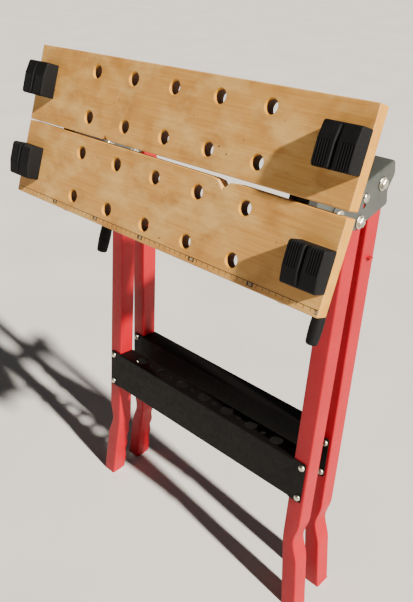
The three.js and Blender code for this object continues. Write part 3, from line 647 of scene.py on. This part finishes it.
def largeBolt(name):
    face, bolt, washer = armFasteners["face"], armFasteners["bolt"], armFasteners["washer"]
    soft, seatFace = bolt["chamfer"], face + washer["thick"]
    crown, lap = seatFace + bolt["headTall"] - bolt["tip"], bolt["lap"]
    nut = turned(name, [(0, -face - bolt["nutTall"]), (bolt["nut"] - soft, -face - bolt["nutTall"]),
                        (bolt["nut"], -face - bolt["nutTall"] + soft), (bolt["nut"], -face), (0, -face)], "X", 6)
    shank = turned(name, [(bolt["shank"], -face - lap), (bolt["shank"], seatFace)], "X")
    edge, wide = washer["edge"], washer["radius"]
    disc = turned(name, [(0, face), (wide - edge, face), (wide, face + edge), (wide, seatFace - edge),
                         (wide - edge, seatFace), (0, seatFace)], "X")
    head = turned(name, [(0, seatFace), (bolt["head"], seatFace), (bolt["head"], crown - soft),
                         (bolt["head"] - soft, crown), (0, crown)], "X", 6)
    tip = turned(name, [(bolt["shank"], crown - lap), *domed(bolt["shank"], bolt["tip"], crown)], "X")
    return joined(name, [nut, shank, disc, head, tip])


def headedPin(name, pinForm):
    face = armFasteners["face"]
    ends = domed(pinForm["head"], pinForm["tall"], face)
    other = [(radius, -distance) for radius, distance in reversed(ends)]
    return turned(name, [*other, (pinForm["shank"], -face), (pinForm["shank"], face), *ends], "X")


for name, node, mesh, spot in (
        ("frontLegBolt", "front_leg_bolt", largeBolt("frontLegBolt"), armForm["frontBolt"]),
        ("rearPivotBolt", "rear_pivot_bolt", largeBolt("rearPivotBolt"), armForm["pivot"]),
        ("armRivet", "arm_rivet", headedPin("armRivet", armFasteners["rivet"]), armForm["rivet"]),
        ("tiltPin", "tilt_pin", headedPin("tiltPin", armFasteners["tiltPin"]), (0, 0))):
    mesh.transform(shift(armForm["centre"], *spot))
    addPair(name, mesh, zinc, armsFrame, "front_frame", "zinc_plated_steel", node)
print("arm fasteners set")

# Legs: U-channel pressed from sheet, pinched and flared at the bend, crimped in the foot
legForm = {
    "centre": 223.5, "width": 29, "depth": 30, "wall": 2, "corner": 2.6, "bend": 140, "flare": 17, "pinch": 7,
    "pinchHalf": 42, "crimpStart": 36, "crimpPitch": 34, "crimps": 3, "crimp": 1.2, "ripple": 2, "tip": 0.6,
    "overPivot": 8, "rearTaper": 40, "rearNarrow": 4, "topGap": 1.5, "floorGap": 0.02, "inCorner": 1, "sharp": 30,
    "rings": [14, 20, 26, *[32 + 3 * i for i in range(54)]], "straightTo": 600, "frontTop": 700,
    "lug": {"height": 626, "out": 6, "deep": 9, "tall": 3, "fromWeb": 12, "sunk": 1, "corner": 2, "edge": 0.5},
}
pivotInLegs = legsFrame.inverted() @ armsFrame @ (Vector((0, *armForm["pivot"])) * mm)
pivotInRear = pivotInLegs / mm - Vector((0, pose["setback"], 0))
rearFrame = (legsFrame @ Matrix.Translation(pivotInLegs) @ turn("X", pose["rearSwing"])
             @ shift(*[-c for c in pivotInRear]))


def legRing(height, heightAt, narrow=0.0):
    form = legForm
    flare = form["flare"] * max(0, form["bend"] - height) / form["bend"]
    fromBend = min(1, abs(height - form["bend"]) / form["pinchHalf"])
    pinch = form["pinch"] * math.cos(fromBend * math.pi / 2) ** 2
    turnOf = (height - form["crimpStart"]) / form["crimpPitch"]
    wave = math.sin(turnOf * math.pi) ** 2 if 0 < turnOf < form["crimps"] else 0
    inner = form["centre"] - form["width"] / 2 + flare
    outer = form["centre"] + form["width"] / 2 + flare - pinch
    depth, wall, corner, tip = form["depth"] - narrow, form["wall"], form["corner"], form["tip"]
    innerDepth = depth - form["crimp"] * wave
    push = form["ripple"] * wave
    outside = rounded([(inner + push, innerDepth - tip), (inner, 0, corner), (outer, 0, corner),
                       (outer, depth - tip)], 6)
    inside = rounded([(outer - wall, depth - tip), (outer - wall, wall, form["inCorner"]),
                      (inner + wall, wall, form["inCorner"]), (inner + wall + push, innerDepth - tip)], 6)
    ring = [*outside, (outer - wall / 2, depth), *inside, (inner + push + wall / 2, innerDepth)]
    return [(p[0], p[1], heightAt(p[1])) for p in ring]


def level(height):
    return lambda y: height


# The floor's height at each depth of a leg, in the leg's own frame
def floorIn(legs):
    return lambda y: -(legs[2][3] / mm + legs[2][1] * y) / legs[2][2] + legForm["floorGap"]


def legMesh(name, legs, topRings):
    rings = [legRing(height, level(height)) for height in legForm["rings"]]
    return loft(name, [legRing(0, floorIn(legs)), *rings, *topRings], legForm["sharp"])


def underArm(y):
    rise = math.radians(pose["armRise"])
    _, pinY, pinZ = pose["pinInLegs"]
    under = armForm["top"] - armForm["wall"] - legForm["topGap"]
    return pinZ + (under + (y - pinY) * math.sin(rise)) / math.cos(rise)


def legLug(name):
    lug = legForm["lug"]
    face = legForm["centre"] + legForm["width"] / 2
    low, high, near, far = face - lug["sunk"], face + lug["out"], lug["fromWeb"], lug["fromWeb"] + lug["deep"]
    outline = rounded([(low, near), (high, near, lug["corner"]), (high, far, lug["corner"]), (low, far)])
    return cutPlate(name, outline, [], lug["tall"], lug["edge"], shift(0, 0, lug["height"] + lug["tall"] / 2))


straightTo, rearTop = legForm["straightTo"], pivotInRear.z + legForm["overPivot"]
taper = rearTop - legForm["rearTaper"]
frontRings = [legRing(straightTo, level(straightTo)), legRing(legForm["frontTop"], underArm)]
rearRings = [legRing(taper, level(taper)), legRing(rearTop, level(rearTop), legForm["rearNarrow"])]
frontLeg = legMesh("frontLeg", legsFrame, frontRings)
rearLeg = joined("rearLeg", [legMesh("rearLeg", rearFrame, rearRings), legLug("rearLeg")], legForm["sharp"])
addPair("frontLegSteel", frontLeg, redEnamel, legsFrame, "front_frame", "red_paint", "front_leg")
addPair("rearLegSteel", rearLeg, redEnamel, rearFrame, "rear_frame", "red_paint", "rear_leg")
print("legs pressed")

# Cross channels: folded sheet with a tray on top, the front one with tool holes, each on four dome bolts
channelForm = {
    "half": 233, "inside": 208.5, "height": 75, "wall": 2, "front": -2.3, "tray": 32, "lip": 14, "bend": 3.2,
    "corner": 4, "flatCorner": 3, "lap": 0.3, "edge": 0.3, "holes": 7, "pitch": 54, "hole": 11, "smallHole": 4.5,
    "tops": {"front": 299, "rear": 319}, "boltX": 226.5, "boltInset": 8.5,
    "bolt": {"shank": 3, "head": 5.6, "tall": 4.2, "gap": 0.3, "nut": 5.2, "nutTall": 4.5, "web": 2.3,
             "chamfer": 0.6},
}


def channelMesh(name, top, holed):
    form = channelForm
    half, inside, wall, front, bend = form["half"], form["inside"], form["wall"], form["front"], form["bend"]
    bottom = top - form["height"]
    corner = form["corner"]
    outline = rounded([(-half, bottom, corner), (-inside, bottom), (-inside, bottom + bend),
                       (inside, bottom + bend), (inside, bottom), (half, bottom, corner),
                       (half, top, corner), (inside, top), (inside, top - bend),
                       (-inside, top - bend), (-inside, top), (-half, top, corner)])
    plate = cutPlate(name, outline, [], wall, form["edge"], shift(0, front + wall / 2, 0) @ facingAxes)
    bends = []
    for edge, way in ((top, -1), (bottom, 1)):
        arc = [(front + bend - bend * math.cos(a), edge + way * (bend - bend * math.sin(a)))
               for a in [math.pi / 12 * i for i in range(7)]]
        small = bend - wall
        arc += [(front + bend - small * math.cos(a), edge + way * (bend - small * math.sin(a)))
                for a in [math.pi / 12 * (6 - i) for i in range(7)]]
        rings = [[(x, y, z) for y, z in arc] for x in ((-inside, inside) if way < 0 else (inside, -inside))]
        bends.append(loft(name, rings))
    holes = []
    row = front + wall + (form["tray"] - wall) / 2
    for i in range(2 * form["holes"] - 1 if holed else 0):
        x = (i - form["holes"] + 1) * form["pitch"] / 2
        holes.append(circle(x, row, form["smallHole"] if i % 2 else form["hole"]))
    flats = []
    near, soft = front + bend - form["lap"], form["flatCorner"]
    for depth, height, cuts in ((form["tray"], top - wall / 2, holes), (form["lip"], bottom + wall / 2, [])):
        far = front + depth
        edges = rounded([(-inside, near), (inside, near), (inside, far, soft), (-inside, far, soft)])
        flats.append(cutPlate(name, edges, cuts, wall, form["edge"], shift(0, 0, height)))
    return joined(name, [plate, *bends, *flats])


def channelBolt(name):
    bolt = channelForm["bolt"]
    seat, soft = channelForm["front"] - bolt["gap"], bolt["chamfer"]
    head = turned(name, [*reversed(domed(bolt["head"], bolt["tall"], seat, -1)), (bolt["shank"], seat),
                         (bolt["shank"], bolt["web"])], "Y")
    back = bolt["web"] + bolt["nutTall"]
    nut = turned(name, [(0, bolt["web"]), (bolt["nut"], bolt["web"]), (bolt["nut"], back - soft),
                        (bolt["nut"] - soft, back), (0, back)], "Y", 6)
    return joined(name, [head, nut])


for where, place, body in (("front", legsFrame, "front_frame"), ("rear", rearFrame, "rear_frame")):
    top = channelForm["tops"][where]
    channel = channelMesh(where + "Channel", top, where == "front")
    addPiece(where + "ChannelSheet", channel, [blackEnamel], place, body, "black_paint", where + "_channel")
    for row, height in (("upper", top - channelForm["boltInset"]),
                        ("lower", top - channelForm["height"] + channelForm["boltInset"])):
        mesh = channelBolt(where + "ChannelBolt")
        mesh.transform(shift(channelForm["boltX"], 0, height))
        addPair(where + "ChannelBolt_" + row, mesh, zinc, place, body, "zinc_plated_steel",
                where + "_channel_bolt_" + row)
print("channels folded")

# Vice screws with a rolled thread, their cranks, pins and grips
viceForm = {
    "ahead": 47.6, "radius": 6, "tip": -119.4, "rear": 118, "plainTo": -96, "runOut": 2, "chamfer": 0.8,
    "lead": 6, "starts": 2, "deep": 0.55, "sides": 20, "stations": 320, "sharp": 50,
    "strapTop": -113.4, "thick": 4, "strapEdge": 0.6, "reach": 70, "hub": 10, "hubSteps": 20,
    "eye": 8, "eyeSteps": 16, "sleeve": 9, "sleeveTop": -104.3, "sleeveSunk": 1,
    "angles": {"right": 74, "left": 42},
}
gripForm = {"radius": 9.5, "waist": 1, "round": 3.5, "tip": -172.4, "top": -117.8, "collar": 4, "lip": 1,
            "steps": 14, "sides": 36, "pin": 4, "pinHead": 6, "pinTall": 3, "pinInset": 8}


def threadedRod(name):
    form = viceForm
    rings = []
    count = form["sides"]
    length = form["rear"] - form["tip"]
    stations = [form["tip"] + length * i / form["stations"] for i in range(form["stations"] + 1)]
    for z in stations:
        cut = form["deep"] if form["plainTo"] < z < form["rear"] - form["runOut"] else 0
        ring = []
        for i in range(count):
            share = (z / form["lead"] * form["starts"] - i / count) % 1  # two starts, so that the ridges are fine
            radius = form["radius"] - cut * (0.5 + 0.5 * math.cos(2 * math.pi * share))
            if z in (stations[0], stations[-1]):
                radius -= form["chamfer"]
            angle = 2 * math.pi * i / count
            ring.append((radius * math.cos(angle), radius * math.sin(angle), z))
        rings.append(ring)
    return loft(name, rings, form["sharp"])


def crankMesh(name):
    form = viceForm
    reach, hub, eye = form["reach"], form["hub"], form["eye"]
    lean = math.acos((hub - eye) / reach)
    hubSteps, eyeSteps = form["hubSteps"], form["eyeSteps"]
    outline = [Vector((hub * math.cos(a), hub * math.sin(a)))
               for a in [lean + (2 * math.pi - 2 * lean) * i / hubSteps for i in range(hubSteps + 1)]]
    outline += [Vector((reach + eye * math.cos(a), eye * math.sin(a)))
                for a in [-lean + 2 * lean * i / eyeSteps for i in range(eyeSteps + 1)]]
    place = shift(0, 0, form["strapTop"] - form["thick"] / 2)
    strap = cutPlate(name, outline, [], form["thick"], form["strapEdge"], place)
    wide, soft = form["sleeve"], form["chamfer"]
    foot, top = form["strapTop"] - form["sleeveSunk"], form["sleeveTop"]
    sleeve = turned(name, [(0, foot), (wide, foot), (wide, top - soft), (wide - soft, top), (0, top)])
    return joined(name, [strap, sleeve])


def gripMesh(name):
    form = gripForm
    tip, top, radius, waist, soft = form["tip"], form["top"], form["radius"], form["waist"], form["round"]
    end = [((radius - waist - soft) + soft * math.sin(a), tip + soft - soft * math.cos(a))
           for a in [math.pi / 12 * i for i in range(7)]]
    barrel = [(radius - waist * (2 * t - 1) ** 2, tip + soft + (top - 2 * form["collar"] - tip - soft) * t)
              for t in [i / form["steps"] for i in range(1, form["steps"] + 1)]]
    lip = form["lip"]
    rim = [(radius, top - form["collar"] - lip), (radius, top - lip), (radius - lip, top), (0, top)]
    return turned(name, [(0, tip), *end, *barrel, *rim], "Z", form["sides"])


for side, sign in sides:
    screwPlace = topFrame @ shift(sign * legForm["centre"], -viceForm["ahead"], 0)
    crankPlace = screwPlace @ turn("Z", viceForm["angles"][side])
    gripPlace = crankPlace @ shift(viceForm["reach"], 0, 0)
    screwBody = "vice_screw_" + side
    pinTop = viceForm["strapTop"]
    pinFoot = gripForm["tip"] + gripForm["pinInset"]
    pinMesh = turned("crankPin", [(gripForm["pin"], pinFoot), (gripForm["pin"], pinTop),
                                  *domed(gripForm["pinHead"], gripForm["pinTall"], pinTop)])
    steel = "zinc_plated_steel"
    addPiece("clampScrewRod_" + side, threadedRod("clampScrew"), [zinc], screwPlace, screwBody, steel,
             "clamp_screw_" + side)
    addPiece("crankStrap_" + side, crankMesh("crankStrap"), [zinc], crankPlace, screwBody, steel, "crank_" + side)
    addPiece("crankPinRod_" + side, pinMesh, [zinc], gripPlace, screwBody, steel, "crank_pin_" + side)
    addPiece("gripBarrel_" + side, gripMesh("gripBarrel"), [plastic], gripPlace, "grip_" + side, "black_plastic",
             "crank_grip_" + side)
print("vice screws cut")

# Carriers and the small steel parts hidden under the jaws keep their own shapes and take the finishes
for name, node in nodes.items():
    finish = greyEnamel if name.startswith("carrier") else zinc
    for materialSlot in node.material_slots:
        materialSlot.material = finish

# Studio: pale floor, a surround that is pale at the horizon and dim overhead, one warm key from the right
studio = {
    "floor": [(0.3, "cecdca"), (0.7, "d6d5d2")], "floorHalf": 25, "mottle": 3, "roughness": 0.75,
    "surround": "f4f4f6", "horizon": 0.5, "overhead": 0.05, "fadeTo": 0.4,
    "key": {"from": (0.81, -0.04, 0.585), "spread": 2.5, "strength": 12.5, "colour": "fff6ea"},
}
floorMesh = bpy.data.meshes.new("studioFloor")
far = studio["floorHalf"]
floorMesh.from_pydata([(-far, -far, 0), (far, -far, 0), (far, far, 0), (-far, far, 0)], [], [(0, 1, 2, 3)])
floor = bpy.data.objects.new("studioFloor", floorMesh)
scene.collection.objects.link(floor)
floorPaint, tree, shader, place = startMaterial("floor paint, rolled", Roughness=studio["roughness"])
mottle = addNode(tree, "TexNoise", {"Vector": place, "Scale": studio["mottle"], "Detail": 4})
tone = addNode(tree, "ValToRGB", {"Fac": mottle.outputs[0]}, stops=studio["floor"])
tree.links.new(tone.outputs[0], shader.inputs["Base Color"])
floorMesh.materials.append(floorPaint)

world = bpy.data.worlds.new("studio")
scene.world = world
world.use_nodes = True
background = world.node_tree.nodes["Background"]
background.inputs["Color"].default_value = toLinear(studio["surround"])
sky = world.node_tree
upward = addNode(sky, "SeparateXYZ", {"Vector": addNode(sky, "TexCoord").outputs["Generated"]})
fade = addNode(sky, "MapRange", {"Value": upward.outputs["Z"], "From Min": 0.0, "From Max": studio["fadeTo"],
                                 "To Min": studio["horizon"], "To Max": studio["overhead"]})
sky.links.new(fade.outputs[0], background.inputs["Strength"])
key = bpy.data.lights.new("key", "SUN")
key.energy = studio["key"]["strength"]
key.angle = math.radians(studio["key"]["spread"])
key.color = toLinear(studio["key"]["colour"])[:3]
keyLamp = bpy.data.objects.new("key", key)
scene.collection.objects.link(keyLamp)
keyLamp.location = studio["key"]["from"]
keyLamp.rotation_euler = (-keyLamp.location).to_track_quat("-Z", "Y").to_euler()
print("studio lit")

# Camera where the photograph was taken from, measured from the tilt pin
shot = {"fromPin": (0.661957, -0.67584, 0.321547), "angles": (60.4716, 0.2403, 43.8265), "lens": 40.388,
        "sensor": 36}
cameraData = bpy.data.cameras.new("photographer")
cameraData.lens = shot["lens"]
cameraData.sensor_width = shot["sensor"]
camera = bpy.data.objects.new("photographer", cameraData)
scene.collection.objects.link(camera)
camera.location = pin + Vector(shot["fromPin"])
camera.rotation_euler = [math.radians(a) for a in shot["angles"]]
scene.camera = camera
